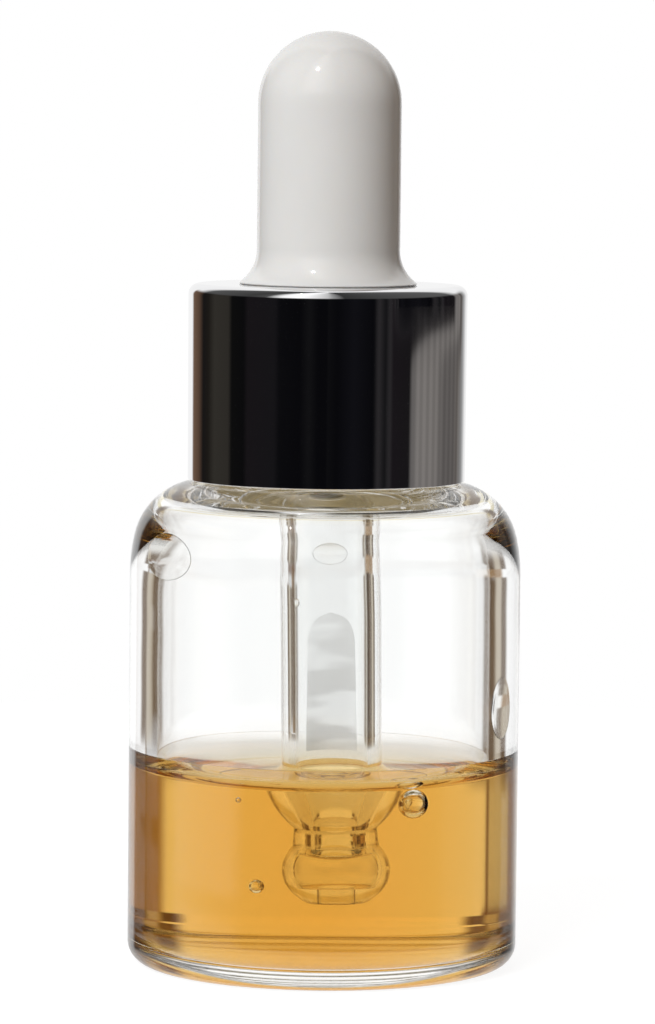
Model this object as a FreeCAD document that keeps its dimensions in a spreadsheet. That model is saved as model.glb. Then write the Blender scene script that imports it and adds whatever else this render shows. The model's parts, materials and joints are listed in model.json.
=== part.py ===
import FreeCAD, Part
import Sketcher
import math
import os

# A 15 ml glass dropper bottle: bottle, liquid, and a screw-on dropper of collar, inner cap, bulb and pipette.
# Every piece is turned about the Z axis. The origin is the centre of the foot that the bottle stands on.
# Lengths are in millimetres, and every height is measured up from that foot.

SIZES = {
    # bottle, outside
    "body_radius": 14.0,
    "heel_radius": 1.6,
    "foot_radius": 10.4,
    "foot_hollow": 0.3,
    "side_top": 28.2,
    "shoulder_start_curve": 12.0,
    "shoulder_break_radius": 13.69,
    "shoulder_break_height": 30.9,
    "shoulder_curve": 5.0,
    "shoulder_top_radius": 8.82,
    "shoulder_top": 34.78,
    "neck_radius": 7.75,
    "neck_top": 45.5,
    "rim_round": 0.5,
    # bottle, inside
    "cavity_radius": 11.9,
    "floor_height": 1.2,
    "floor_corner": 1.6,
    "cavity_shoulder_height": 31.2,
    "cavity_shoulder_curve": 1.9,
    "neck_bore_radius": 4.75,
    "bore_flare_curve": 1.3,
    # screw thread of the neck and the cap: 8 turns to the inch, right-handed
    "thread_pitch": 3.175,
    "thread_depth": 0.85,
    "thread_root_width": 1.9,
    "thread_crest_width": 0.9,
    "neck_thread_height": 37.6,
    "neck_thread_turns": 1.5,
    "cap_thread_height": 36.35,
    "cap_thread_turns": 1.25,
    "cap_thread_root_width": 1.5,
    "cap_thread_crest_width": 0.7,
    "thread_bite": 0.1,
    # inner cap
    "cap_bottom": 35.15,
    "cap_bore_radius": 8.8,
    "cap_outer_radius": 9.5,
    "cap_panel_underside": 47.4,
    "cap_top": 48.5,
    "cap_hole_radius": 4.95,
    "cap_edge_round": 0.6,
    # metal collar
    "collar_bottom": 34.86,
    "collar_bottom_radius": 9.92,
    "collar_top_radius": 9.97,
    "collar_top": 48.85,
    "collar_round": 0.75,
    "collar_inner_radius": 9.52,
    "collar_lid_underside": 48.5,
    "collar_hole_radius": 5.0,
    # rubber bulb
    "bulb_seal_bottom": 45.55,
    "bulb_flange_radius": 7.5,
    "bulb_flange_top": 47.35,
    "bulb_waist_radius": 4.9,
    "bulb_skirt_bottom": 48.9,
    "bulb_skirt_radius": 6.36,
    "bulb_skirt_edge": 0.12,
    "bulb_flare_curve": 2.9,
    "bulb_stem_radius": 5.12,
    "bulb_stem_bottom": 51.6,
    "bulb_dome_height": 61.75,
    "bulb_hollow_radius": 3.9,
    "bulb_hollow_bottom": 52.4,
    "bulb_hollow_shoulder": 51.3,
    "bulb_recess_radius": 5.55,
    "bulb_recess_top": 46.55,
    "bulb_grip_radius": 3.68,
    # glass pipette, which leans a little to one side in its seat
    "pipette_lean_degrees": 1.0,
    "pipette_pivot_height": 48.5,
    "tube_radius": 3.62,
    "tube_bore_radius": 2.62,
    "tube_top": 51.1,
    "tube_flange_radius": 5.5,
    "tube_flange_bottom": 45.7,
    "tube_flange_top": 46.4,
    "taper_top": 13.1,
    "taper_bore_top": 13.3,
    "taper_curve": 6.5,
    "waist_top": 10.25,
    "waist_top_radius": 2.15,
    "waist_bore_radius": 1.54,
    "waist_bottom": 8.95,
    "ball_height": 7.25,
    "ball_radius": 2.82,
    "ball_neck_radius": 2.25,
    "ball_foot_radius": 1.56,
    "ball_hollow_radius": 2.18,
    "ball_hollow_top": 8.79,
    "ball_floor_radius": 1.81,
    "ball_floor_height": 6.04,
    "tip_bottom": 4.9,
    "tip_bore_radius": 0.92,
    # liquid
    "liquid_gap": 0.05,
    "liquid_top": 13.7,
    "liquid_well_radius": 4.35,
    "liquid_well_bottom": 4.6,
}

doc = FreeCAD.newDocument("DropperBottle")

sheet = doc.addObject("Spreadsheet::Sheet", "Sizes")
for row, (alias, size) in enumerate(SIZES.items(), start=1):
    sheet.set(f"A{row}", alias)
    sheet.set(f"B{row}", str(size))
    sheet.setAlias(f"B{row}", alias)
doc.recompute()


def value(text):
    """The number that a sum such as "neck_radius + thread_depth / 2" comes to. Terms are names or numbers."""
    total, sign = 0.0, 1
    for word in text.split():
        if word in ("+", "-"):
            sign = 1 if word == "+" else -1
            continue
        name, _, divisor = word.partition("/")
        number = SIZES[name] if name in SIZES else float(name)
        total += sign * number / float(divisor or 1)
    return total


def expression(text):
    """The same sum as an expression on the sheet."""
    words = []
    for word in text.split():
        name = word.partition("/")[0]
        words.append(f"Sizes.{word}" if name in SIZES else word)
    return " ".join(words)


def new_body(name):
    body = doc.addObject("PartDesign::Body", name)
    body.Label = name
    body.Placement = FreeCAD.Placement()
    return body


def profile(body, name, outline):
    """A closed sketch in the XZ plane. Each step of outline is (radius, height), or (radius, height, curve, side)
    for an arc that ends there, with its centre to the left (side 1) or right (side -1) of the way it runs."""
    plane = next(f for f in body.Origin.OriginFeatures if f.Role == "XZ_Plane")
    sketch = body.newObject("Sketcher::SketchObject", name)
    sketch.AttachmentSupport = [(plane, "")]
    sketch.MapMode = "FlatFace"

    def bind(kind, geometry, end, text):
        index = sketch.addConstraint(Sketcher.Constraint(kind, -1, 1, geometry, end, value(text)))
        sketch.setExpression(f"Constraints[{index}]", expression(text))

    count = len(outline)
    corners = [FreeCAD.Vector(value(step[0]), value(step[1]), 0) for step in outline]
    for i, step in enumerate(outline):
        start, end = corners[i - 1], corners[i]
        if len(step) == 2:
            sketch.addGeometry(Part.LineSegment(start, end), False)
            continue
        radius, side = value(step[2]), step[3]
        chord = end - start
        normal = FreeCAD.Vector(-chord.y, chord.x, 0).normalize() * side
        reach = math.sqrt(max(radius**2 - (chord.Length / 2) ** 2, 0))
        centre = (start + end) / 2 + normal * reach
        low, high = (start, end) if side > 0 else (end, start)
        angle_low = math.atan2(low.y - centre.y, low.x - centre.x)
        angle_high = math.atan2(high.y - centre.y, high.x - centre.x)
        circle = Part.Circle(centre, FreeCAD.Vector(0, 0, 1), radius)
        sketch.addGeometry(Part.ArcOfCircle(circle, angle_low, angle_high), False)
    # on a line the second end is point 2; an arc that runs clockwise was made from its far end
    last = [1 if len(step) == 4 and step[3] < 0 else 2 for step in outline]
    for i, step in enumerate(outline):
        after = (i + 1) % count
        sketch.addConstraint(Sketcher.Constraint("Coincident", i, last[i], after, 3 - last[after]))
        for kind, text, axis in (("DistanceX", step[0], -2), ("DistanceY", step[1], -1)):
            if abs(value(text)) < 1e-9:
                sketch.addConstraint(Sketcher.Constraint("PointOnObject", i, last[i], axis))
            else:
                bind(kind, i, last[i], text)
        if len(step) == 4:
            index = sketch.addConstraint(Sketcher.Constraint("Radius", i, value(step[2])))
            sketch.setExpression(f"Constraints[{index}]", expression(step[2]))
    return sketch


def turned(body, name, outline, lean=0.0, pivot=0.0):
    """Adds the solid that an outline sweeps about the Z axis, which may lean by some degrees about a height so that
    its lower end moves towards +X."""
    sketch = profile(body, name + "_outline", outline)
    if lean:
        turn = FreeCAD.Rotation(FreeCAD.Vector(0, 0, 1), lean)
        sketch.AttachmentOffset = FreeCAD.Placement(FreeCAD.Vector(), turn, FreeCAD.Vector(0, pivot, 0))
    feature = body.newObject("PartDesign::Revolution", name)
    feature.Profile = sketch
    feature.ReferenceAxis = (sketch, ["V_Axis"])
    feature.Angle = 360.0
    return feature


def screw_ridge(body, name, root, crest, height, root_width, crest_width, turns):
    """Adds a helical ridge that starts at height over the +X side, from root radius to crest radius."""
    sketch = profile(body, name + "_section", [
        (root, f"{height} - {root_width}/2"),
        (crest, f"{height} - {crest_width}/2"),
        (crest, f"{height} + {crest_width}/2"),
        (root, f"{height} + {root_width}/2"),
    ])
    doc.recompute()
    helix = body.newObject("PartDesign::AdditiveHelix", name)
    helix.Profile = sketch
    helix.ReferenceAxis = (sketch, ["V_Axis"])
    helix.Mode = "pitch-turns-angle"
    helix.setExpression("Pitch", "Sizes.thread_pitch")
    helix.setExpression("Turns", f"Sizes.{turns}")
    helix.Angle = 0.0
    helix.LeftHanded = False
    helix.Reversed = False
    return helix


# ---- bottle: one thick glass wall, with a bore through the neck ---------------------------------------------
bottle = new_body("bottle")
turned(bottle, "glass", [
    ("0", "foot_hollow"),
    ("foot_radius", "foot_hollow"),
    ("foot_radius + foot_hollow", "0", "foot_hollow", -1),
    ("body_radius - heel_radius", "0"),
    ("body_radius", "heel_radius", "heel_radius", 1),
    ("body_radius", "side_top"),
    ("shoulder_break_radius", "shoulder_break_height", "shoulder_start_curve", 1),
    ("shoulder_top_radius", "shoulder_top", "shoulder_curve", 1),
    ("neck_radius + rim_round", "shoulder_top"),
    ("neck_radius", "shoulder_top + rim_round", "rim_round", -1),
    ("neck_radius", "neck_top - rim_round"),
    ("neck_radius - rim_round", "neck_top", "rim_round", 1),
    ("neck_bore_radius + rim_round", "neck_top"),
    ("neck_bore_radius", "neck_top - rim_round", "rim_round", 1),
    ("neck_bore_radius", "cavity_shoulder_height + cavity_shoulder_curve + bore_flare_curve"),
    ("neck_bore_radius + bore_flare_curve", "cavity_shoulder_height + cavity_shoulder_curve",
     "bore_flare_curve", 1),
    ("cavity_radius - cavity_shoulder_curve", "cavity_shoulder_height + cavity_shoulder_curve"),
    ("cavity_radius", "cavity_shoulder_height", "cavity_shoulder_curve", -1),
    ("cavity_radius", "floor_height + floor_corner"),
    ("cavity_radius - floor_corner", "floor_height", "floor_corner", -1),
    ("0", "floor_height"),
])
screw_ridge(bottle, "neck_thread", "neck_radius - thread_bite", "neck_radius + thread_depth",
            "neck_thread_height", "thread_root_width", "thread_crest_width", "neck_thread_turns")

# ---- liquid: fills the bottom of the bottle, with a well that the pipette stands in ------------------------
liquid = new_body("liquid")
turned(liquid, "fill", [
    ("0", "floor_height + liquid_gap"),
    ("cavity_radius - floor_corner", "floor_height + liquid_gap"),
    ("cavity_radius - liquid_gap", "floor_height + floor_corner", "floor_corner - liquid_gap", 1),
    ("cavity_radius - liquid_gap", "liquid_top"),
    ("liquid_well_radius", "liquid_top"),
    ("liquid_well_radius", "liquid_well_bottom"),
    ("0", "liquid_well_bottom"),
])

# ---- pipette: tube, flange that the bulb holds, and a waist above a hollow ball tip ------------------------
pipette = new_body("pipette")
turned(pipette, "tube", [
    ("tip_bore_radius", "tip_bottom"),
    ("ball_foot_radius", "tip_bottom"),
    ("ball_neck_radius", "waist_bottom", "ball_radius", 1),
    ("waist_top_radius", "waist_top"),
    ("tube_radius", "taper_top", "taper_curve", 1),
    ("tube_radius", "tube_flange_bottom"),
    ("tube_flange_radius", "tube_flange_bottom"),
    ("tube_flange_radius", "tube_flange_top"),
    ("tube_radius", "tube_flange_top"),
    ("tube_radius", "tube_top"),
    ("tube_bore_radius", "tube_top"),
    ("tube_bore_radius", "taper_bore_top"),
    ("waist_bore_radius", "waist_top"),
    ("waist_bore_radius", "ball_hollow_top"),
    ("ball_floor_radius", "ball_floor_height", "ball_hollow_radius", -1),
    ("tip_bore_radius", "ball_floor_height"),
], SIZES["pipette_lean_degrees"], SIZES["pipette_pivot_height"])

# ---- bulb: hollow rubber teat, snapped into the hole of the cap and collar --------------------------------
bulb = new_body("bulb")
turned(bulb, "teat", [
    ("bulb_recess_radius", "bulb_seal_bottom"),
    ("bulb_flange_radius", "bulb_seal_bottom"),
    ("bulb_flange_radius", "bulb_flange_top"),
    ("bulb_waist_radius", "bulb_flange_top"),
    ("bulb_waist_radius", "bulb_skirt_bottom"),
    ("bulb_skirt_radius - bulb_skirt_edge", "bulb_skirt_bottom"),
    ("bulb_skirt_radius", "bulb_skirt_bottom + bulb_skirt_edge", "bulb_skirt_edge", 1),
    ("bulb_stem_radius", "bulb_stem_bottom", "bulb_flare_curve", -1),
    ("bulb_stem_radius", "bulb_dome_height"),
    ("0", "bulb_dome_height + bulb_stem_radius", "bulb_stem_radius", 1),
    ("0", "bulb_dome_height + bulb_hollow_radius"),
    ("bulb_hollow_radius", "bulb_dome_height", "bulb_hollow_radius", -1),
    ("bulb_hollow_radius", "bulb_hollow_bottom"),
    ("bulb_grip_radius", "bulb_hollow_shoulder"),
    ("bulb_grip_radius", "bulb_recess_top"),
    ("bulb_recess_radius", "bulb_recess_top"),
])

# ---- inner cap: threaded plastic, with a panel that clamps the bulb's flange on the neck -------------------
inner_cap = new_body("inner_cap")
turned(inner_cap, "cap", [
    ("cap_bore_radius", "cap_bottom"),
    ("cap_outer_radius", "cap_bottom"),
    ("cap_outer_radius", "cap_top - cap_edge_round"),
    ("cap_outer_radius - cap_edge_round", "cap_top", "cap_edge_round", 1),
    ("cap_hole_radius", "cap_top"),
    ("cap_hole_radius", "cap_panel_underside"),
    ("cap_bore_radius", "cap_panel_underside"),
])
screw_ridge(inner_cap, "cap_thread", "cap_bore_radius + thread_bite", "cap_bore_radius - thread_depth",
            "cap_thread_height", "cap_thread_root_width", "cap_thread_crest_width", "cap_thread_turns")

# ---- collar: drawn metal shell pressed over the inner cap --------------------------------------------------
collar = new_body("collar")
turned(collar, "shell", [
    ("collar_inner_radius", "collar_bottom"),
    ("collar_bottom_radius", "collar_bottom"),
    ("collar_top_radius", "collar_top - collar_round"),
    ("collar_top_radius - collar_round", "collar_top", "collar_round", 1),
    ("collar_hole_radius", "collar_top"),
    ("collar_hole_radius", "collar_lid_underside"),
    ("collar_inner_radius", "collar_lid_underside"),
])

doc.recompute()

# ---- check every object, then write each piece ------------------------------------------------------------
pieces = [bottle, liquid, pipette, bulb, inner_cap, collar]
failed = [o.Name for o in doc.Objects if "Invalid" in o.State or "Error" in o.State]
if failed:
    raise RuntimeError(f"these objects failed to recompute: {failed}")
for piece in pieces:
    if piece.Shape.isNull() or not piece.Shape.isValid() or len(piece.Shape.Solids) != 1:
        raise RuntimeError(f"{piece.Label} is not one valid solid")

os.makedirs("parts", exist_ok=True)
for piece in pieces:
    piece.Shape.exportStep(f"parts/{piece.Label}.step")
    print(f"{piece.Label}: {piece.Shape.Volume:.1f} mm3")
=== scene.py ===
import json
import math

import bmesh
import bpy
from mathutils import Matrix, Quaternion, Vector

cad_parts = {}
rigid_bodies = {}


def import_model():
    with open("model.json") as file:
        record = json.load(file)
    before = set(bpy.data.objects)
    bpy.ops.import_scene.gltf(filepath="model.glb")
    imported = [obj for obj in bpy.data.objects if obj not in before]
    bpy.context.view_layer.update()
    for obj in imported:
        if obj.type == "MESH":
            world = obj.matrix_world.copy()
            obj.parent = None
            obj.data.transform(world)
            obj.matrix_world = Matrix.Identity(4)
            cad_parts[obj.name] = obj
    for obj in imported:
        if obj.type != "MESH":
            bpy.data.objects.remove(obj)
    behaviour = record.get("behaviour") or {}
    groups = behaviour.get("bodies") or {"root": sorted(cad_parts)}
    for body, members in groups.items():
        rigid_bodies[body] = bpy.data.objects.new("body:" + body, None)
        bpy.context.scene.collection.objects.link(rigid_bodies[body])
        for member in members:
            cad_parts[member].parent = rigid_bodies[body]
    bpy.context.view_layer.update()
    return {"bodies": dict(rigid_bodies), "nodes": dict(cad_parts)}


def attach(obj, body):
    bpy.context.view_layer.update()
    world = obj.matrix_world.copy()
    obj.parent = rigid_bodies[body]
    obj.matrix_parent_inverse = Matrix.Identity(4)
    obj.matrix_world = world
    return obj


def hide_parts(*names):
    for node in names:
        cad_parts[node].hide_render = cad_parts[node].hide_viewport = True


# Looks for the dropper bottle: turned glass, rubber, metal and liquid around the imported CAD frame.
# Outlines are in millimetres, as in the part's own source; everything made from them is in metres.

MM = 0.001
SEGMENTS = 256          # round the bottle, collar and liquid
FINE_SEGMENTS = 160     # round the pipette and the bulb

CAVITY_RADIUS = 11.9
NECK_RADIUS = 7.75
FLOOR = 1.2             # inner floor of the bottle
LEVEL = 13.55           # flat middle of the liquid's surface
OVERLAP = 0.03          # how far the liquid's skin reaches into the glass, so that no air shows between
TUBE_RADIUS = 3.62
PIVOT = 48.5            # the pipette leans about this height, so that its tip stands a little towards +X
LEAN = math.radians(1.0)
THREAD_PITCH = 3.175
THREAD_DEPTH = 0.85

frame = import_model()
bodies = frame["bodies"]


# ---- small helpers -----------------------------------------------------------------------------------

def smooth(low, high, x):
    t = min(max((x - low) / (high - low), 0.0), 1.0)
    return t * t * (3 - 2 * t)


def outline_points(steps, spacing=0.6, arc_step=6.0):
    """Points along an outline. A step is (radius, height), or (radius, height, curve, side) for an arc that
    ends there with its centre to the left (side 1) or right (side -1) of the way it runs. Lengths in mm."""
    points = [(float(steps[0][0]), float(steps[0][1]))]
    for step in steps[1:]:
        x0, z0 = points[-1]
        x1, z1 = step[0], step[1]
        chord = math.hypot(x1 - x0, z1 - z0)
        if len(step) == 2:
            count = max(1, round(chord / spacing))
            points += [(x0 + (x1 - x0) * i / count, z0 + (z1 - z0) * i / count) for i in range(1, count + 1)]
            continue
        radius, side = step[2], step[3]
        reach = math.sqrt(max(radius**2 - (chord / 2) ** 2, 0.0))
        cx = (x0 + x1) / 2 - (z1 - z0) / chord * reach * side
        cz = (z0 + z1) / 2 + (x1 - x0) / chord * reach * side
        start = math.atan2(z0 - cz, x0 - cx)
        sweep = (math.atan2(z1 - cz, x1 - cx) - start) % (2 * math.pi)
        if side < 0:
            sweep -= 2 * math.pi
        count = max(3, round(abs(math.degrees(sweep)) / arc_step))
        points += [(cx + radius * math.cos(start + sweep * i / count),
                    cz + radius * math.sin(start + sweep * i / count)) for i in range(1, count + 1)]
    return points


def lean(x, z, share=1.0):
    """Where a point of the pipette goes as it leans, in mm. A share below 1 leans it less."""
    angle = LEAN * share
    above = z - PIVOT
    leaned_x = x * math.cos(angle) - above * math.sin(angle)
    leaned_z = PIVOT + above * math.cos(angle) + x * math.sin(angle)
    return leaned_x, leaned_z


def lathe(name, points, segments, shape=None, leaning=None, closed=False, sharp=40.0):
    """A turned solid from points (radius, height) in mm. shape(radius, height, angle) may move each point,
    and leaning(radius, height) says how much of the pipette's lean it takes up."""
    verts, rings = [], []
    for r, z in points:
        share = leaning(r, z) if leaning else 0.0
        ring = []
        for k in range(1 if r < 1e-6 else segments):
            angle = 2 * math.pi * k / segments
            rr, zz = shape(r, z, angle) if shape else (r, z)
            x, zz = lean(rr * math.cos(angle), zz, share)
            ring.append(len(verts))
            verts.append((x * MM, rr * math.sin(angle) * MM, zz * MM))
        rings.append(ring)
    if closed:
        rings.append(rings[0])
    faces = []
    for low, high in zip(rings, rings[1:]):
        if len(low) == len(high) == 1:
            continue
        for k in range(segments):
            after = (k + 1) % segments
            if len(low) == 1:
                faces.append((low[0], high[after], high[k]))
            elif len(high) == 1:
                faces.append((low[k], low[after], high[0]))
            else:
                faces.append((low[k], low[after], high[after], high[k]))
    return new_piece(name, verts, faces, sharp)


def new_piece(name, verts, faces, sharp=40.0):
    mesh = bpy.data.meshes.new(name)
    mesh.from_pydata(verts, [], faces)
    mesh.update()
    mesh.shade_smooth()
    mesh.set_sharp_from_angle(angle=math.radians(sharp))
    piece = bpy.data.objects.new(name, mesh)
    bpy.context.scene.collection.objects.link(piece)
    return piece


class Nodes:
    """Short names for building a node tree: each call adds a node and gives its first output."""

    def __init__(self, tree):
        self.tree = tree

    def add(self, kind, inputs=(), **settings):
        node = self.tree.nodes.new(kind)
        for key, setting in settings.items():
            setattr(node, key, setting)
        for key, source in dict(inputs).items():
            self.feed(node.inputs[key], source)
        return node

    def feed(self, socket, source):
        if isinstance(source, bpy.types.NodeSocket):
            self.tree.links.new(source, socket)
        else:
            socket.default_value = source

    def math(self, operation, *terms):
        return self.add("ShaderNodeMath", enumerate(terms), operation=operation).outputs[0]

    def vector(self, operation, *terms):
        return self.add("ShaderNodeVectorMath", enumerate(terms), operation=operation).outputs[0]

    def remap(self, source, low, high, to_low=0.0, to_high=1.0, kind="SMOOTHSTEP"):
        names = {"Value": source, "From Min": low, "From Max": high, "To Min": to_low, "To Max": to_high}
        return self.add("ShaderNodeMapRange", names, interpolation_type=kind).outputs[0]

    def mix(self, factor, first, second):
        node = self.add("ShaderNodeMix", data_type="RGBA")
        for key, source in ((0, factor), (6, first), (7, second)):
            self.feed(node.inputs[key], source)
        return node.outputs[2]

    def ramp(self, factor, stops, interpolation="LINEAR"):
        node = self.add("ShaderNodeValToRGB", {0: factor})
        ramp = node.color_ramp
        ramp.interpolation = interpolation
        while len(ramp.elements) < len(stops):
            ramp.elements.new(0.5)
        for element, (position, colour) in zip(ramp.elements, stops):
            element.position = position
            element.color = (*colour, 1.0)
        return node.outputs[0]


def new_material(name):
    """A material with its node helper and its Principled shader."""
    material = bpy.data.materials.new(name)
    material.use_nodes = True
    nodes = Nodes(material.node_tree)
    return material, nodes, material.node_tree.nodes["Principled BSDF"]


def place(nodes, stretch=(1.0, 1.0, 1.0)):
    """The object's own coordinates in metres, stretched."""
    point = nodes.add("ShaderNodeTexCoord").outputs["Object"]
    return nodes.add("ShaderNodeMapping", {"Vector": point, "Scale": stretch}).outputs[0]


def noise(nodes, scale, detail=3.0, stretch=(1.0, 1.0, 1.0)):
    inputs = {"Vector": place(nodes, stretch), "Scale": scale, "Detail": detail}
    return nodes.add("ShaderNodeTexNoise", inputs).outputs[0]


def bump(nodes, height, distance, strength=1.0):
    inputs = {"Height": height, "Distance": distance, "Strength": strength}
    return nodes.add("ShaderNodeBump", inputs).outputs[0]


# ---- materials ---------------------------------------------------------------------------------------

def glass_material(name, wave_scale, wave_depth):
    """Clear glass with faint ripples left by the mould, and slight smears on its surface."""
    material, nodes, shader = new_material(name)
    smears = noise(nodes, 160.0, 4.0, (1.0, 1.0, 0.35))
    ripples = noise(nodes, wave_scale, 1.0, (1.0, 1.0, 0.3))
    tint = nodes.mix(smears, (0.985, 0.992, 0.988, 1.0), (0.997, 1.0, 0.998, 1.0))
    nodes.feed(shader.inputs["Base Color"], tint)
    nodes.feed(shader.inputs["Roughness"], nodes.remap(smears, 0.35, 0.75, 0.0, 0.012))
    nodes.feed(shader.inputs["IOR"], 1.5)
    nodes.feed(shader.inputs["Transmission Weight"], 1.0)
    nodes.feed(shader.inputs["Normal"], bump(nodes, ripples, wave_depth))
    return material


def liquid_material(name):
    """Clear amber liquid: the colour is taken up along the way through it."""
    material, nodes, shader = new_material(name)
    swirl = noise(nodes, 90.0, 2.0)
    nodes.feed(shader.inputs["Base Color"], (1.0, 1.0, 1.0, 1.0))
    nodes.feed(shader.inputs["Roughness"], nodes.remap(swirl, 0.3, 0.8, 0.0, 0.006))
    nodes.feed(shader.inputs["IOR"], 1.38)
    nodes.feed(shader.inputs["Specular Tint"], (0.15, 0.15, 0.15, 1.0))
    nodes.feed(shader.inputs["Transmission Weight"], 1.0)
    nodes.feed(shader.inputs["Normal"], bump(nodes, swirl, 0.00001))
    absorb = nodes.add("ShaderNodeVolumeAbsorption", {"Color": (0.937, 0.717, 0.14, 1.0), "Density": 145.0})
    output = material.node_tree.nodes["Material Output"]
    material.node_tree.links.new(absorb.outputs[0], output.inputs["Volume"])
    return material


def rubber_material(name):
    """Glossy off-white rubber with a faint mottle and a fine orange-peel skin."""
    material, nodes, shader = new_material(name)
    mottle = noise(nodes, 220.0, 3.0)
    peel = noise(nodes, 1500.0, 2.0)
    nodes.feed(shader.inputs["Base Color"], nodes.mix(mottle, (0.83, 0.82, 0.80, 1), (0.88, 0.87, 0.85, 1)))
    nodes.feed(shader.inputs["Roughness"], nodes.remap(mottle, 0.3, 0.7, 0.08, 0.13))
    nodes.feed(shader.inputs["Normal"], bump(nodes, peel, 0.000004))
    nodes.feed(shader.inputs["Subsurface Weight"], 0.25)
    nodes.feed(shader.inputs["Subsurface Radius"], (1.0, 0.85, 0.7))
    nodes.feed(shader.inputs["Subsurface Scale"], 0.0008)
    return material


def metal_material(name):
    """Mirror-bright plated metal with fine drawing marks that run up and down the shell."""
    material, nodes, shader = new_material(name)
    marks = noise(nodes, 900.0, 3.0, (1.0, 1.0, 0.02))
    waves = noise(nodes, 170.0, 1.0, (1.0, 1.0, 0.2))
    wear = noise(nodes, 140.0, 4.0)
    nodes.feed(shader.inputs["Metallic"], 1.0)
    nodes.feed(shader.inputs["Base Color"], nodes.mix(wear, (0.80, 0.80, 0.81, 1), (0.88, 0.88, 0.885, 1)))
    nodes.feed(shader.inputs["Roughness"], nodes.remap(wear, 0.3, 0.75, 0.03, 0.06))
    relief = nodes.math("ADD", marks, nodes.math("MULTIPLY", waves, 12.0))
    nodes.feed(shader.inputs["Normal"], bump(nodes, relief, 0.0000012))
    return material


def plastic_with_painted_glow_material(name):
    """Moulded off-white plastic, satin, with a soft grain. Its colour is partly warmed and it glows faintly,
    both as painted light standing in for light tinted by the amber liquid.
    """
    material, nodes, shader = new_material(name)
    grain = noise(nodes, 1100.0, 3.0)
    # warm beige: the plastic's own off-white with painted amber light mixed in
    nodes.feed(shader.inputs["Base Color"], nodes.mix(grain, (0.88, 0.83, 0.71, 1), (0.94, 0.89, 0.77, 1)))
    nodes.feed(shader.inputs["Roughness"], nodes.remap(grain, 0.3, 0.7, 0.32, 0.45))
    nodes.feed(shader.inputs["Normal"], bump(nodes, grain, 0.000012))
    # painted glow: the cap is no lamp; this warm emission stands in for amber-tinted light reaching it
    # through the liquid
    nodes.feed(shader.inputs["Emission Color"], (1.0, 0.79, 0.42, 1))
    nodes.feed(shader.inputs["Emission Strength"], 0.14)
    return material


def floor_material(name):
    material, nodes, shader = new_material(name)
    grain = noise(nodes, 60.0, 3.0)
    nodes.feed(shader.inputs["Base Color"], nodes.mix(grain, (0.26, 0.26, 0.26, 1), (0.28, 0.28, 0.28, 1)))
    nodes.feed(shader.inputs["Roughness"], 0.8)
    nodes.feed(shader.inputs["Specular IOR Level"], 0.1)
    nodes.feed(shader.inputs["Emission Color"], (1.0, 1.0, 1.0, 1.0))
    nodes.feed(shader.inputs["Emission Strength"], 0.9)
    return material


# ---- bottle ------------------------------------------------------------------------------------------

THREAD_START = 37.6     # height of the ridge's middle where it begins
THREAD_TURNS = 1.5
THREAD_ROOT = 1.9
THREAD_CREST = 0.9


def thread_ridge(z, angle):
    """How far the neck's ridge stands out at a place on the neck, in mm."""
    height = 0.0
    for turn in (0, 1):
        gone = angle / (2 * math.pi) + turn
        if gone > THREAD_TURNS:
            continue
        off = abs(z - THREAD_START - THREAD_PITCH * gone)
        flank = (THREAD_ROOT / 2 - off) / ((THREAD_ROOT - THREAD_CREST) / 2)
        ends = smooth(0.0, 0.08, gone) * smooth(0.0, 0.08, THREAD_TURNS - gone)
        height = max(height, THREAD_DEPTH * smooth(0.0, 1.0, flank) * ends)
    return height


def wall_wave(z, angle):
    """How uneven the blown inner wall is at a place, in mm."""
    inside = smooth(2.2, 6.0, z) * (1 - smooth(26.0, 30.0, z))
    swell = 0.5 * math.cos(2 * angle + 0.6) + 0.35 * math.cos(3 * angle - 0.11 * z)
    ripple = 0.16 * math.sin(0.55 * z + 2.0 * math.sin(angle + 0.9)) + 0.05 * math.sin(1.1 * z + 3 * angle)
    return 0.055 * inside * (swell + ripple)


def bottle_shape(r, z, angle):
    if 35.3 < z < 45.2 and r > NECK_RADIUS - 0.01:
        return r + thread_ridge(z, angle), z
    if 1.4 < z < 31 and r < CAVITY_RADIUS + 0.01:
        return r + wall_wave(z, angle) * smooth(9.0, 11.8, r), z
    return r, z


def neck_rows():
    """The outside of the neck in fine rows, for the thread."""
    bottom, top, step = 35.28, 45.0, 0.12
    count = round((top - bottom) / step)
    return [(NECK_RADIUS, bottom + (top - bottom) * i / count) for i in range(count + 1)]


def make_bottle(material):
    outside = outline_points([
        (0, 0.3), (10.4, 0.3), (10.7, 0, 0.3, -1), (12.4, 0), (14.0, 1.6, 1.6, 1), (14.0, 28.2),
        (13.69, 30.9, 12.0, 1), (8.82, 34.78, 5.0, 1), (8.25, 34.78), (7.75, 35.28, 0.5, -1),
    ], spacing=0.5)
    rim = outline_points([
        (7.75, 45.0), (7.25, 45.5, 0.5, 1), (5.25, 45.5), (4.75, 45.0, 0.5, 1), (4.75, 34.4),
        (6.05, 33.1, 1.3, 1), (10.0, 33.1), (11.9, 31.2, 1.9, -1), (11.9, 2.8), (10.3, 1.2, 1.6, -1),
        (0, 1.2),
    ], spacing=0.5)
    bottle = lathe("bottle_glass", outside[:-1] + neck_rows()[:-1] + rim, SEGMENTS, bottle_shape)
    bottle.data.materials.append(material)
    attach(bottle, "base")
    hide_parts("bottle")


# ---- pipette -----------------------------------------------------------------------------------------

PIPETTE_OUTSIDE = [     # from the tip opening up to the flange
    (0.92, 4.9), (1.56, 4.9), (2.25, 8.95, 2.82, 1), (2.15, 10.25), (3.62, 13.1, 6.5, 1), (3.62, 45.7),
]
BALL_HOLLOW = [         # inside the tip, from the neck of the ball down to its opening
    (1.54, 8.79), (1.81, 6.04, 2.18, -1), (0.92, 6.04), (0.92, 4.95),
]


def all_of_it(r, z):
    return 1.0


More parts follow.
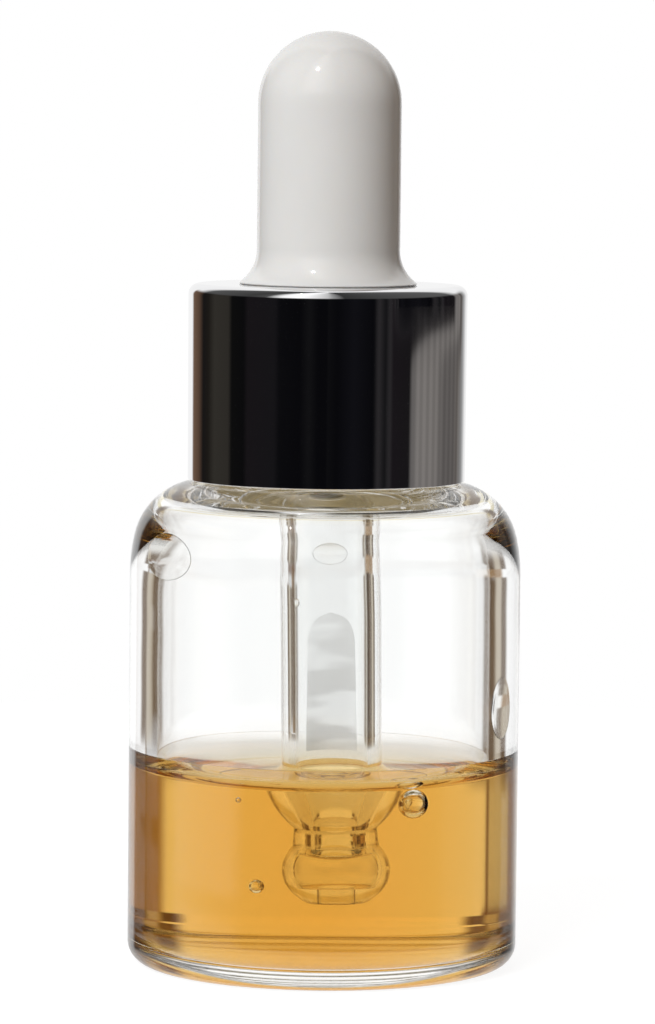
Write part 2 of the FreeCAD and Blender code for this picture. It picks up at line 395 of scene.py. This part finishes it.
def make_pipette(material):
    points = outline_points(PIPETTE_OUTSIDE + [
        (5.5, 45.7), (5.5, 46.4), (3.62, 46.4), (3.62, 51.1), (2.62, 51.1), (2.62, 13.3), (1.54, 10.25),
    ] + BALL_HOLLOW, spacing=0.5, arc_step=5.0)
    pipette = lathe("pipette_tube", points, FINE_SEGMENTS, leaning=all_of_it, closed=True)
    pipette.data.materials.append(material)
    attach(pipette, "dropper")
    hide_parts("pipette")


# ---- liquid ------------------------------------------------------------------------------------------

WALL_CLIMB = 1.45       # how high the liquid creeps up the bottle's wall, and how far out that is felt
WALL_REACH = 1.2
TUBE_CLIMB = 0.9
TUBE_REACH = 0.8
DISPLACED = 0.45        # how far the level sinks when the pipette is out
WELL_CLOSES = 9.0       # lift of the pipette over which the well closes
COLUMN_TOP = 8.45       # rim of the liquid that stands in the tip, and how far its middle dips below that
COLUMN_DIP = 0.5
FILM_FOOT, FILM_TOP = 15.2, 25.1
FILM_WIDTH = 2.1        # half the width of the film's tongue

# air bubbles: (x, y, z, radius)
BUBBLES = [(5.75, -8.4, 12.82, 1.03), (-4.0, -7.0, 6.75, 0.5), (-5.35, -8.6, 13.0, 0.2)]

# drops on the inner wall: (degrees round from the front, height, half width, half height, thickness)
DROPS = [
    (-60, 29.6, 2.6, 1.5, 0.05), (1.5, 30.5, 1.15, 0.7, 0.14), (-9, 27.2, 0.2, 0.28, 0.12),
    (72, 19.0, 1.5, 2.2, 0.06),
]
DROP_RINGS = 8
DROP_CORNERS = 40


def surface_height(r):
    """Height of the liquid's free surface at a radius, with a meniscus at the wall and at the tube."""
    at_wall = max(CAVITY_RADIUS - r, 0.0)
    at_tube = max(r - TUBE_RADIUS, 0.0)
    edge = max(1 - at_wall / 0.5, 0.0) ** 2 * 0.45
    return (LEVEL + WALL_CLIMB * math.exp(-at_wall / WALL_REACH) + edge
            + TUBE_CLIMB * math.exp(-at_tube / TUBE_REACH))


def liquid_shape(r, z, angle):
    if r > 9.0 and z > 1.4:
        return r + wall_wave(z, angle) * smooth(9.0, 11.8, r), z
    return r, z


def well_leaning(r, z):
    """The well follows the leaning pipette; the rest of the liquid doesn't."""
    return smooth(4.0, 4.6, z) * (1 - smooth(4.5, 9.5, r))


def make_liquid(material):
    skin = CAVITY_RADIUS + OVERLAP
    top = surface_height(skin)
    wall = outline_points([
        (0, FLOOR - OVERLAP), (10.3, FLOOR - OVERLAP), (skin, 2.8, 1.6 + OVERLAP, 1), (skin, top),
    ], spacing=0.5)
    inner = TUBE_RADIUS - OVERLAP
    count = 60
    surface = []
    for i in range(1, count):
        share = i / count
        r = skin - (skin - inner) * (share + math.sin(2 * math.pi * share) * -0.12)
        surface.append((r, surface_height(r)))
    well = [p for p in reversed(outline_points(PIPETTE_OUTSIDE[1:], spacing=0.4, arc_step=6.0))
            if p[1] < surface_height(inner) - 0.15]
    well = [(r - OVERLAP, z) for r, z in well]
    well[-1] = (1.53, 4.93)
    foot = [(1.2, 4.93), (0.9, 4.93), (0.5, 4.93), (0, 4.93)]
    points = wall + surface + [(inner, surface_height(inner))] + well + foot
    liquid = lathe("amber_liquid", points, SEGMENTS, liquid_shape, well_leaning, sharp=50.0)
    closed_well(liquid, points, len(wall) + len(surface) // 2)
    liquid.data.materials.append(material)
    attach(liquid, "base")
    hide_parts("liquid")
    return liquid


def closed_well(liquid, points, first):
    """Stores where each point goes once the pipette has left: the well closes to a level surface."""
    lengths = [0.0]
    for (r0, z0), (r1, z1) in zip(points[first:], points[first + 1:]):
        lengths.append(lengths[-1] + math.hypot(r1 - r0, z1 - z0))
    start = points[first][0]
    radii = [points[i][0] for i in range(first)] + [start * (1 - length / lengths[-1]) for length in lengths]
    target, index = [], 0
    for i, (r, z) in enumerate(points):
        ring = 1 if r < 1e-6 else SEGMENTS
        for k in range(ring):
            co = liquid.data.vertices[index].co
            if i < first:
                drop = DISPLACED * smooth(6.0, 12.0, z)
                target.append((co.x, co.y, co.z - drop * MM))
            else:
                angle = 2 * math.pi * k / SEGMENTS
                z_flat = (surface_height_open(radii[i]) - DISPLACED) * MM
                target.append((radii[i] * math.cos(angle) * MM, radii[i] * math.sin(angle) * MM, z_flat))
            index += 1
    attribute = liquid.data.attributes.new("closed", "FLOAT_VECTOR", "POINT")
    attribute.data.foreach_set("vector", [c for point in target for c in point])


def surface_height_open(r):
    """The surface with no tube in it."""
    at_wall = max(CAVITY_RADIUS - r, 0.0)
    return LEVEL + WALL_CLIMB * math.exp(-at_wall / WALL_REACH)


def add_geometry_tree(piece, name):
    """A geometry nodes modifier on the piece: gives its node helper, the geometry coming in and the way
    out."""
    tree = bpy.data.node_groups.new(name, "GeometryNodeTree")
    tree.interface.new_socket("Geometry", in_out="INPUT", socket_type="NodeSocketGeometry")
    tree.interface.new_socket("Geometry", in_out="OUTPUT", socket_type="NodeSocketGeometry")
    nodes = Nodes(tree)
    start = nodes.add("NodeGroupInput")
    end = nodes.add("NodeGroupOutput")
    piece.modifiers.new(name, "NODES").node_group = tree
    return nodes, start.outputs[0], end.inputs[0]


def place_of(nodes, empty):
    """Where an empty is, seen from the piece."""
    info = nodes.add("GeometryNodeObjectInfo", {"Object": empty}, transform_space="RELATIVE")
    return info.outputs["Location"]


def close_well_when_lifted(liquid):
    nodes, geometry, out = add_geometry_tree(liquid, "close_well")
    lift = nodes.add("ShaderNodeSeparateXYZ", {0: place_of(nodes, bodies["dropper"])}).outputs[2]
    factor = nodes.remap(lift, 0.0, WELL_CLOSES * MM)
    position = nodes.add("GeometryNodeInputPosition").outputs[0]
    stored = nodes.add("GeometryNodeInputNamedAttribute", {"Name": "closed"}, data_type="FLOAT_VECTOR")
    step = nodes.vector("SCALE", nodes.vector("SUBTRACT", stored.outputs[0], position))
    nodes.feed(step.node.inputs["Scale"], factor)
    moved = nodes.add("GeometryNodeSetPosition", {"Geometry": geometry, "Offset": step})
    nodes.feed(out, moved.outputs[0])


def add_bubbles(liquid, bubbles):
    """Adds air bubbles to the liquid: small balls turned inside out, each (x, y, z, radius) in mm."""
    mesh = bmesh.new()
    mesh.from_mesh(liquid.data)
    target = mesh.verts.layers.float_vector["closed"]
    for x, y, z, radius in bubbles:
        made = bmesh.ops.create_uvsphere(mesh, u_segments=48, v_segments=28, radius=radius * MM)["verts"]
        bmesh.ops.translate(mesh, verts=made, vec=(x * MM, y * MM, z * MM))
        faces = {face for vert in made for face in vert.link_faces}
        bmesh.ops.reverse_faces(mesh, faces=list(faces))
        for face in faces:
            face.smooth = True
        for vert in made:
            vert[target] = vert.co - Vector((0, 0, DISPLACED * MM))
    mesh.to_mesh(liquid.data)
    mesh.free()


def wall_point(mesh, drop, u, v, inward):
    """A new corner on the inner wall, u round and v up from a drop's middle, moved inward, all in mm."""
    degrees, height = drop[:2]
    angle = math.radians(degrees - 90) + u / CAVITY_RADIUS
    r = CAVITY_RADIUS + wall_wave(height + v, angle) + OVERLAP - inward
    return mesh.verts.new((r * math.cos(angle) * MM, r * math.sin(angle) * MM, (height + v) * MM))


def drop_ring(mesh, drop, share, inward):
    """A ring of corners round a drop, at a share of its half width and half height."""
    wide, tall = drop[2], drop[3]
    turns = [2 * math.pi * k / DROP_CORNERS for k in range(DROP_CORNERS)]
    return [wall_point(mesh, drop, wide * share * math.cos(t), tall * share * math.sin(t), inward)
            for t in turns]


def add_drops(liquid, drops):
    """Adds clear drops that cling to the bottle's inner wall above the liquid."""
    mesh = bmesh.new()
    mesh.from_mesh(liquid.data)
    target = mesh.verts.layers.float_vector["closed"]
    shares = [math.sin(math.pi / 2 * i / DROP_RINGS) for i in range(1, DROP_RINGS)]
    for drop in drops:
        bulge = drop[4] + OVERLAP
        rim = drop_ring(mesh, drop, 1.0, 0.0)
        inner = [drop_ring(mesh, drop, share, bulge * (1 - share * share)) for share in shares] + [rim]
        outer = [drop_ring(mesh, drop, share, 0.0) for share in shares] + [rim]
        faces = []
        for layers, middle, flip in ((inner, bulge, True), (outer, 0.0, False)):
            centre = wall_point(mesh, drop, 0, 0, middle)
            for k in range(DROP_CORNERS):
                after = (k + 1) % DROP_CORNERS
                corners = [[centre, layers[0][k], layers[0][after]]]
                corners += [[low[k], high[k], high[after], low[after]]
                            for low, high in zip(layers, layers[1:])]
                faces += [mesh.faces.new(reversed(c) if flip else c) for c in corners]
        for face in faces:
            face.smooth = True
            for vert in face.verts:
                vert[target] = vert.co
    mesh.to_mesh(liquid.data)
    mesh.free()


def make_column(material):
    """The liquid that stands inside the pipette's ball, with a hollow meniscus on top."""
    hollow = [(r + OVERLAP, z) for r, z in outline_points(BALL_HOLLOW, spacing=0.3, arc_step=6.0)
              if z < COLUMN_TOP]
    hollow.reverse()
    wall = [(0, 4.78), (0.5, 4.8), (0.95, 4.9)] + hollow[1:]
    rim = wall[-1][0]
    top = [(rim * (1 - i / 10), COLUMN_TOP - COLUMN_DIP * (1 - (1 - i / 10) ** 2)) for i in range(11)]
    column = lathe("liquid_in_tip", wall + top, 96, leaning=all_of_it)
    column.data.materials.append(material)
    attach(column, "dropper")


def film_material(name):
    """What the liquid leaves where it has run down inside the tube: a faint beige haze in uneven bands."""
    material, nodes, shader = new_material(name)
    height = nodes.add("ShaderNodeSeparateXYZ", {0: place(nodes)}).outputs[2]
    bands = noise(nodes, 420.0, 2.0, (0.25, 0.25, 1.0))
    haze = nodes.remap(height, 15.5 * MM, 25.2 * MM, 0.2, 0.1, kind="LINEAR")
    nodes.feed(shader.inputs["Base Color"], nodes.mix(bands, (0.70, 0.62, 0.48, 1), (0.86, 0.80, 0.68, 1)))
    nodes.feed(shader.inputs["Roughness"], nodes.remap(bands, 0.3, 0.7, 0.35, 0.5))
    uneven = nodes.remap(bands, 0.42, 0.56, 0.45, 1.2)
    nodes.feed(shader.inputs["Alpha"], nodes.math("MULTIPLY", haze, uneven))
    return material


def make_film(material):
    """The film inside the back of the tube, as a thin tongue with a rounded top."""
    radius, thick, across, up = 2.58, 0.03, 16, 40
    verts, faces = [], []
    for depth in (0.0, thick):
        for j in range(up + 1):
            z = FILM_FOOT + (FILM_TOP - FILM_FOOT) * j / up
            round_top = max(z - (FILM_TOP - FILM_WIDTH), 0.0) / FILM_WIDTH
            half = max(FILM_WIDTH * math.sqrt(max(1 - round_top**2, 0.0)), 0.02) * (1.12 - 0.15 * j / up)
            for i in range(across + 1):
                angle = math.pi / 2 + half / radius * (1 - 2 * i / across)
                r = radius - depth
                x, zz = lean(r * math.cos(angle), z)
                verts.append((x * MM, r * math.sin(angle) * MM, zz * MM))
    row, layer = across + 1, (across + 1) * (up + 1)
    for j in range(up):
        for i in range(across):
            a = j * row + i
            faces.append((a, a + row, a + row + 1, a + 1))
            faces.append((a + layer, a + layer + 1, a + layer + row + 1, a + layer + row))
    edge = list(range(across)) + [across + j * row for j in range(up)]
    edge += [up * row + across - i for i in range(across)] + [(up - j) * row for j in range(up)]
    for a, b in zip(edge, edge[1:] + edge[:1]):
        faces.append((a, b, b + layer, a + layer))
    film = new_piece("liquid_film_in_tube", verts, faces)
    film.data.materials.append(material)
    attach(film, "dropper")


# ---- bulb --------------------------------------------------------------------------------------------

SQUEEZE_LOW, SQUEEZE_HIGH = 50.8, 57.5      # the stem gives way between these heights
DOME_LOW, DOME_HIGH = 61.5, 66.9


def make_bulb(material):
    points = outline_points([
        (5.55, 45.55), (7.5, 45.55), (7.5, 47.35), (4.9, 47.35), (4.9, 48.86), (6.26, 48.86),
        (6.36, 48.96, 0.1, 1), (5.12, 51.6, 2.9, -1), (5.12, 61.75), (0, 66.87, 5.12, 1),
    ], spacing=0.5, arc_step=4.0)
    hollow = outline_points([
        (0, 65.65), (3.9, 61.75, 3.9, -1), (3.9, 52.4), (3.6, 51.3), (3.6, 46.55), (5.55, 46.55),
        (5.55, 45.9),
    ], spacing=0.5, arc_step=5.0)
    bulb = lathe("rubber_bulb", points + hollow, FINE_SEGMENTS, closed=True)
    bulb.data.materials.append(material)
    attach(bulb, "teat")
    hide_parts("bulb")
    return bulb


def pinch_when_squeezed(bulb):
    """The side walls come in by the joint's travel and the other two sides bulge; the skirt stays put."""
    nodes, geometry, out = add_geometry_tree(bulb, "pinch")
    shift = place_of(nodes, bodies["closure"])
    travel = nodes.vector("LENGTH", shift).node.outputs["Value"]
    position = nodes.add("GeometryNodeInputPosition").outputs[0]
    x, y, z = nodes.add("ShaderNodeSeparateXYZ", {0: position}).outputs
    radius = nodes.math("SQRT", nodes.math("ADD", nodes.math("MULTIPLY", x, x), nodes.math("MULTIPLY", y, y)))
    radius = nodes.math("MAXIMUM", radius, 3.9 * MM)
    rise = nodes.remap(z, SQUEEZE_LOW * MM, SQUEEZE_HIGH * MM)
    crown = nodes.remap(z, DOME_LOW * MM, DOME_HIGH * MM, 1.0, 0.65)
    reach = nodes.math("MULTIPLY", nodes.math("MULTIPLY", rise, crown), travel)
    share = nodes.math("DIVIDE", reach, radius)
    inward = nodes.math("MULTIPLY", nodes.math("MULTIPLY", x, share), -1.0)
    outward = nodes.math("MULTIPLY", nodes.math("MULTIPLY", y, share), 0.4)
    pinch = nodes.add("ShaderNodeCombineXYZ", {0: inward, 1: outward, 2: 0.0}).outputs[0]
    offset = nodes.vector("ADD", pinch, shift)
    moved = nodes.add("GeometryNodeSetPosition", {"Geometry": geometry, "Offset": offset})
    nodes.feed(out, moved.outputs[0])


# ---- collar and cap ----------------------------------------------------------------------------------

def make_collar(material):
    points = outline_points([
        (9.52, 34.86), (9.85, 34.86), (9.92, 34.93, 0.07, 1), (9.97, 48.1), (9.22, 48.85, 0.75, 1),
        (5.08, 48.85), (5.0, 48.77, 0.08, 1), (5.0, 48.5), (9.52, 48.5), (9.52, 35.3),
    ], spacing=0.5, arc_step=7.0)
    collar = lathe("collar_shell", points, SEGMENTS, closed=True)
    collar.data.materials.append(material)
    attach(collar, "closure")
    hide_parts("collar")


# ---- studio ------------------------------------------------------------------------------------------

CAMERA_DISTANCE = 0.380
CAMERA_HEIGHT = 0.0635
CAMERA_PITCH = -4.66
CAMERA_ROLL = 0.59
CAMERA_SIDE = 0.00012
CAMERA_LENS = 187.0
FLOOR_RADIUS = 0.16
FLOOR_GAP = 0.00002     # keeps the floor from flickering through the bottle's foot


def make_camera():
    data = bpy.data.cameras.new("camera")
    data.lens = CAMERA_LENS
    data.sensor_width = 36.0
    data.clip_start = 0.01
    camera = bpy.data.objects.new("camera", data)
    camera.location = (CAMERA_SIDE, -CAMERA_DISTANCE, CAMERA_HEIGHT)
    ahead = Vector((0, math.cos(math.radians(CAMERA_PITCH)), math.sin(math.radians(CAMERA_PITCH))))
    camera.rotation_mode = "QUATERNION"
    camera.rotation_quaternion = (ahead.to_track_quat("-Z", "Y")
                                  @ Quaternion((0, 0, 1), math.radians(CAMERA_ROLL)))
    bpy.context.scene.collection.objects.link(camera)
    bpy.context.scene.camera = camera


def make_floor(material):
    count = 96
    turns = [2 * math.pi * k / count for k in range(count)]
    verts = [(0.0, 0.0, 0.0)] + [(FLOOR_RADIUS * math.cos(t), FLOOR_RADIUS * math.sin(t), 0) for t in turns]
    faces = [(0, 1 + k, 1 + (k + 1) % count) for k in range(count)]
    floor = new_piece("studio_floor", verts, faces)
    floor.location.z = -FLOOR_GAP
    floor.data.materials.append(material)
    floor.visible_diffuse = False
    floor.visible_glossy = False
    floor.visible_transmission = False


def area_light(name, azimuth, elevation, distance, size, power, mirrored, target=(0, 0, 0.055)):
    """A soft light at an azimuth from +Y, towards +X, and an elevation, both in degrees. Shiny pieces show
    the light itself only if it is mirrored."""
    a, e = math.radians(azimuth), math.radians(elevation)
    way = Vector((math.sin(a) * math.cos(e), math.cos(a) * math.cos(e), math.sin(e)))
    data = bpy.data.lights.new(name, "AREA")
    data.shape = "DISK"
    data.size = size
    data.energy = power
    light = bpy.data.objects.new(name, data)
    light.location = Vector(target) + way * distance
    light.rotation_mode = "QUATERNION"
    light.rotation_quaternion = (-way).to_track_quat("-Z", "Y")
    light.visible_glossy = mirrored
    light.visible_transmission = mirrored
    bpy.context.scene.collection.objects.link(light)


def azimuth_stops(stops):
    """Ramp stops from (azimuth in degrees, brightness or colour)."""
    return [((azimuth + 180) / 360, colour if isinstance(colour, tuple) else (colour,) * 3)
            for azimuth, colour in stops]


# Colours of the dark room that frames the white sweep, shared by the surroundings below.
BROWN, OLIVE, DARK = (0.16, 0.105, 0.06), (0.42, 0.36, 0.26), (0.07, 0.06, 0.052)
TAN, AMBER = (0.55, 0.48, 0.38), (0.44, 0.30, 0.18)


class Directions:
    """Which way a ray of the world goes: azimuth from +Y as 0 to 1 and in degrees, and its elevation, up."""

    def __init__(self, nodes):
        direction = nodes.add("ShaderNodeTexCoord").outputs["Generated"]
        x, y, z = nodes.add("ShaderNodeSeparateXYZ", {0: direction}).outputs
        turn = nodes.math("DIVIDE", nodes.math("ARCTAN2", x, y), 2 * math.pi)
        self.azimuth = nodes.math("ADD", turn, 0.5)
        self.up = nodes.math("MULTIPLY", nodes.math("ARCSINE", z), 180 / math.pi)
        self.degrees = nodes.math("MULTIPLY", nodes.math("SUBTRACT", self.azimuth, 0.5), 360.0)


def seen_through_liquid(nodes, ray):
    """What rays meet that come out of the glass low, as they do behind the liquid: amber at the sides."""
    colours = nodes.ramp(ray.azimuth, azimuth_stops([
        (-180, DARK), (-150, (0.10, 0.09, 0.08)), (-128, 0.03), (-116, 0.9), (-74, 0.95), (-66, BROWN),
        (-54, (0.30, 0.19, 0.10)), (-51, 0.72), (-38, 0.72), (-36.5, (0.22, 0.14, 0.07)), (-35, 1.1),
        (32, 1.1), (36, AMBER), (48, (0.34, 0.22, 0.12)), (56, AMBER), (64, AMBER), (70, BROWN),
        (108, 0.04), (140, (0.2, 0.19, 0.18)), (180, DARK),
    ]))
    to_the_left = nodes.remap(ray.degrees, -33.0, -35.5)
    shaded = nodes.math("MULTIPLY", to_the_left, nodes.remap(ray.up, -8.3, -9.4))
    return nodes.mix(nodes.math("MULTIPLY", shaded, 0.8), colours, (0.18, 0.09, 0.04, 1))


def seen_steeply(nodes, ray):
    """What rays meet that come out of the glass steeply upwards."""
    colours = nodes.ramp(ray.azimuth, azimuth_stops([
        (-180, 1.0), (-122, 1.0), (-108, (0.2, 0.17, 0.12)), (-52, (0.3, 0.26, 0.19)), (-38, 0.95),
        (38, 0.95), (50, (0.2, 0.17, 0.13)), (160, (0.15, 0.13, 0.1)), (172, 1.0), (180, 1.0),
    ]))
    return nodes.mix(nodes.remap(ray.up, 42.0, 60.0), colours, (0.38, 0.34, 0.26, 1))


def seen_through_glass(nodes, ray):
    """What rays meet that have passed through glass: a white sweep behind, and brown bands beside it."""
    colours = nodes.ramp(ray.azimuth, azimuth_stops([
        (-180, DARK), (-150, (0.10, 0.09, 0.08)), (-128, 0.03), (-116, 0.9), (-74, 0.95), (-68, BROWN),
        (-47, BROWN), (-43, TAN), (-38, TAN), (-35, BROWN), (-30, BROWN), (-26, 1.14), (25, 1.14),
        (29, BROWN), (34, BROWN), (37, TAN), (42, TAN), (46, BROWN), (64, (0.06, 0.04, 0.03)),
        (72, OLIVE), (100, OLIVE), (108, 0.04), (140, (0.2, 0.19, 0.18)), (180, DARK),
    ]))
    is_low = nodes.math("MULTIPLY", nodes.remap(ray.up, -7.1, -7.8), nodes.remap(ray.up, -10.8, -10.1))
    colours = nodes.mix(is_low, colours, seen_through_liquid(nodes, ray))
    warmed = nodes.mix(1.0, colours, (0.82, 0.74, 0.5, 1))
    warmed.node.blend_type = "MULTIPLY"
    is_warm = nodes.math("MULTIPLY", nodes.remap(ray.up, 1.5, 3.5), nodes.remap(ray.up, 9.65, 9.45))
    colours = nodes.mix(is_warm, colours, warmed)
    colours = nodes.mix(nodes.remap(ray.up, -13.0, -22.0), colours, (0.86, 0.85, 0.83, 1))
    return nodes.mix(nodes.remap(ray.up, 10.0, 24.0), colours, seen_steeply(nodes, ray))


def bent_azimuth(nodes, ray):
    """The azimuth, turned by up to 56 degrees on the right for rays that rise past three degrees below level,
    so that the bands there slant."""
    slant = nodes.math("POWER", nodes.remap(ray.up, -3.4, -2.8, kind="LINEAR"), 2.2)
    slant = nodes.math("MULTIPLY", nodes.math("MULTIPLY", slant, 56.0), nodes.remap(ray.degrees, 30.0, 45.0))
    slant = nodes.math("MULTIPLY", slant, nodes.remap(ray.degrees, 125.0, 112.0))
    return nodes.math("ADD", ray.azimuth, nodes.math("DIVIDE", slant, 360.0))


def fine_stripes(nodes, ray):
    """A factor close to 1 that streaks the bands on the right."""
    waves = nodes.math("SINE", nodes.math("MULTIPLY", ray.azimuth, 2 * math.pi * 48))
    waves = nodes.remap(waves, -1.0, 1.0, 0.88, 1.08)
    striped = nodes.math("MULTIPLY", nodes.remap(ray.degrees, 28.0, 44.0),
                         nodes.remap(ray.degrees, 108.0, 104.0))
    return nodes.math("ADD", 1.0, nodes.math("MULTIPLY", nodes.math("SUBTRACT", waves, 1.0), striped))


def seen_in_metal(nodes, ray):
    """What mirrored rays meet: a nearly black room with lighter strips, and other bands above and below."""
    colours = nodes.ramp(bent_azimuth(nodes, ray), azimuth_stops([
        (-172, (0.003, 0.003, 0.004)), (-165, (0.007, 0.007, 0.008)), (-158, (0.003, 0.003, 0.004)),
        (-140, (0.004, 0.004, 0.005)), (-136, (0.009, 0.0085, 0.010)), (-111, (0.010, 0.0085, 0.010)),
        (-107, (0.004, 0.004, 0.0045)), (-94, (0.005, 0.005, 0.005)), (-90, (0.030, 0.027, 0.023)),
        (-73, (0.034, 0.031, 0.026)), (-64, (0.014, 0.012, 0.010)), (-55, (0.010, 0.009, 0.009)),
        (-47, (0.10, 0.06, 0.04)), (-34, (0.17, 0.105, 0.07)), (-30, 1.0), (18, 0.9), (30, 0.3),
        (42, (0.14, 0.125, 0.115)), (50, (0.12, 0.11, 0.105)), (68, (0.125, 0.115, 0.11)),
        (78, (0.20, 0.185, 0.175)), (98, (0.215, 0.20, 0.19)), (105, (0.16, 0.15, 0.145)),
        (108, (0.010, 0.009, 0.010)), (124, (0.011, 0.009, 0.011)), (127, (0.028, 0.026, 0.028)),
        (131, (0.007, 0.007, 0.008)), (137, (0.028, 0.026, 0.028)), (141, (0.003, 0.003, 0.004)),
        (158, (0.006, 0.006, 0.008)), (172, (0.003, 0.003, 0.004)), (180, (0.005, 0.005, 0.006)),
    ]))
    colours = nodes.vector("SCALE", colours)
    nodes.feed(colours.node.inputs["Scale"], fine_stripes(nodes, ray))
    high = nodes.ramp(ray.azimuth, azimuth_stops([
        (-180, 0.6), (-155, 1.3), (-140, 1.1), (-126, 0.08), (-110, 0.05), (-55, 0.1), (-38, 1.0),
        (38, 1.0), (55, 0.12), (166, 0.04), (176, 0.35), (180, 0.6),
    ]))
    low = nodes.ramp(ray.azimuth, azimuth_stops([
        (-180, 0.10), (-158, 0.30), (-150, 0.62), (-118, 0.66), (-106, 0.22), (-92, 0.16), (-70, 0.62),
        (-30, 0.85), (30, 0.85), (58, 0.60), (66, 0.14), (84, 0.12), (96, 0.45), (120, 0.62), (134, 0.60),
        (144, 0.16), (180, 0.10),
    ]))
    colours = nodes.mix(nodes.remap(ray.up, 10.0, 22.0), colours, high)
    return nodes.mix(nodes.remap(ray.up, -9.0, -15.0), colours, low)


def soft_surroundings(nodes, ray):
    """What lights the matt pieces: grey all round, and browner on the right."""
    return nodes.ramp(ray.azimuth, azimuth_stops([
        (-180, 0.30), (-90, 0.40), (0, 0.45), (60, (0.2, 0.16, 0.12)), (110, (0.13, 0.09, 0.06)),
        (180, 0.30),
    ]))


def make_world():
    """Arranged surroundings, fixed in the frame: the camera sees plain white, and rays that have passed
    through glass, mirrored rays and diffuse rays each meet bands of their own."""
    world = bpy.data.worlds.new("studio")
    bpy.context.scene.world = world
    world.use_nodes = True
    world.cycles.sampling_method = "NONE"
    nodes = Nodes(world.node_tree)
    background = world.node_tree.nodes["Background"]
    ray = Directions(nodes)
    path = nodes.add("ShaderNodeLightPath").outputs
    seen = nodes.mix(path["Is Glossy Ray"], soft_surroundings(nodes, ray), seen_in_metal(nodes, ray))
    seen = nodes.mix(path["Is Transmission Ray"], seen, seen_through_glass(nodes, ray))
    seen = nodes.mix(path["Is Camera Ray"], seen, (1, 1, 1, 1))
    nodes.feed(background.inputs["Color"], seen)
    nodes.feed(background.inputs["Strength"], 1.0)


def set_render_look():
    scene = bpy.context.scene
    scene.view_settings.view_transform = "Standard"
    scene.view_settings.look = "None"
    scene.cycles.max_bounces = 32
    scene.cycles.transmission_bounces = 32
    scene.cycles.glossy_bounces = 16
    scene.cycles.transparent_max_bounces = 16
    scene.cycles.sample_clamp_indirect = 10.0


# ---- put it together ---------------------------------------------------------------------------------

make_camera()
set_render_look()
make_world()
make_floor(floor_material("studio_paper"))
area_light("key", 206, 25, 0.8, 0.45, 3.65, mirrored=False)
area_light("spark", 211, 55, 0.6, 0.012, 0.4, mirrored=True)

make_bottle(glass_material("clear_glass", 110.0, 0.00002))
make_pipette(glass_material("pipette_glass", 150.0, 0.000008))
liquid = make_liquid(liquid_material("amber_liquid"))
close_well_when_lifted(liquid)
add_bubbles(liquid, BUBBLES)
add_drops(liquid, DROPS)
make_column(liquid.data.materials[0])
make_film(film_material("liquid_film"))
bulb = make_bulb(rubber_material("white_rubber"))
pinch_when_squeezed(bulb)
make_collar(metal_material("bright_metal"))

cap = frame["nodes"]["inner_cap"]
cap.data.materials.clear()
cap.data.materials.append(plastic_with_painted_glow_material("cap_plastic"))
